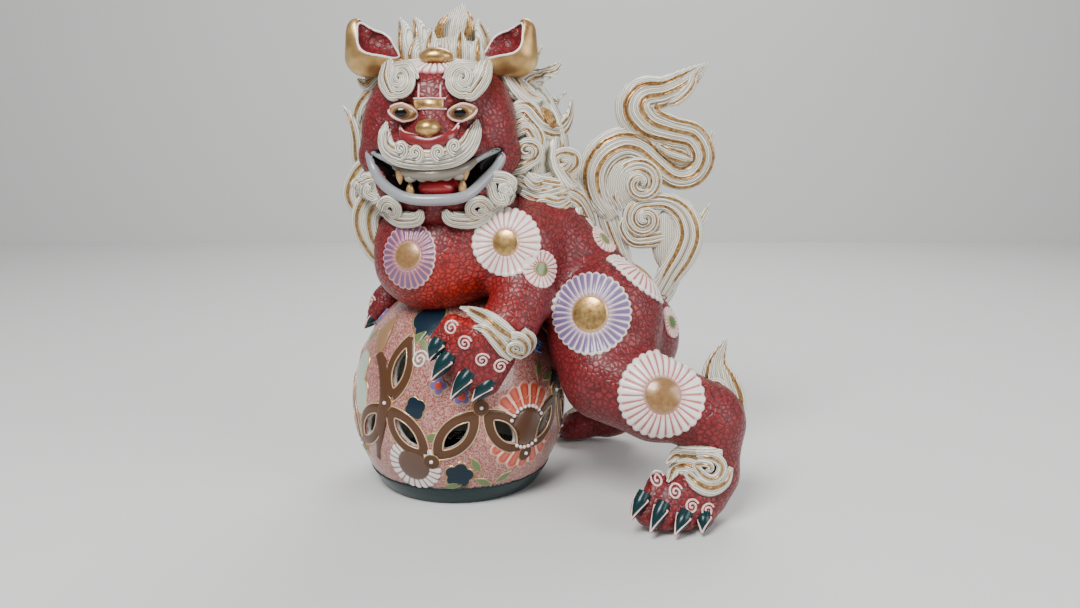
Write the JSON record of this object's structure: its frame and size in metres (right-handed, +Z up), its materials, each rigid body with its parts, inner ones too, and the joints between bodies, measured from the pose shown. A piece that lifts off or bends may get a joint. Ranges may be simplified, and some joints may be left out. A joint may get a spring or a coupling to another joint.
{
  "type": "guardian lion figure with openwork ball",
  "caption": "Porcelain guardian lion with curled mane and flame tail, its forepaws on a pierced ball and its hind feet on the table.",
  "frame": {"origin": "on the table, at the middle of the figure's footprint box", "axes": "+Z up; the body runs along X with the tail end towards +X and the ball towards -X; the face looks along -Y"},
  "size_m": [0.3146, 0.2588, 0.3936],
  "materials": {
    "red_scale_glaze": "pebbled red glaze, semi-gloss",
    "white_fur_glaze": "combed cream-white glaze with gilt lines",
    "gilding": "burnished gold over brown, satin",
    "enamelled_white": "fine dotted pink ground with overglaze enamels and gilt bands",
    "dark_green_glaze": "dark green gloss glaze",
    "claw_green_glaze": "dark teal gloss glaze",
    "eye_glaze": "black and gold gloss",
    "tongue_red": "clear red gloss",
    "tooth_glaze": "gilt white",
    "lip_glaze": "pale grey gloss"
  },
  "bodies": {
    "root": {"ball_shell": "enamelled_white", "ball_foot_ring": "dark_green_glaze", "nose": "gilding", "left_eye": "eye_glaze", "right_eye": "eye_glaze", "tongue": "tongue_red", "upper_fangs": "tooth_glaze", "lower_fangs": "tooth_glaze", "torso_shell": "red_scale_glaze", "lower_jaw": "lip_glaze", "upper_lip": "lip_glaze", "head_shell": "red_scale_glaze", "forehead_boss": "gilding", "left_ear": "gilding", "right_ear": "gilding", "left_brow": "white_fur_glaze", "right_brow": "white_fur_glaze", "moustache": "white_fur_glaze", "left_beard": "white_fur_glaze", "right_beard": "white_fur_glaze", "left_fore_claws": "claw_green_glaze", "left_fore_cuff": "white_fur_glaze", "left_foreleg": "red_scale_glaze", "right_fore_claws": "claw_green_glaze", "right_fore_cuff": "white_fur_glaze", "right_foreleg": "red_scale_glaze", "left_hind_claws": "claw_green_glaze", "left_hind_cuff": "white_fur_glaze", "left_hind_leg": "red_scale_glaze", "right_hind_claws": "claw_green_glaze", "right_hind_cuff": "white_fur_glaze", "right_hind_leg": "red_scale_glaze", "left_hock_flame": "white_fur_glaze", "right_hock_flame": "white_fur_glaze", "tail_lower_curl": "white_fur_glaze", "tail_main_scroll": "white_fur_glaze", "tail_root": "white_fur_glaze", "tail_crest": "white_fur_glaze", "crown_flame": "white_fur_glaze", "mane_crown": "white_fur_glaze", "mane_left": "white_fur_glaze", "mane_right": "white_fur_glaze", "mane_back": "white_fur_glaze"}
  },
  "joints": []
}
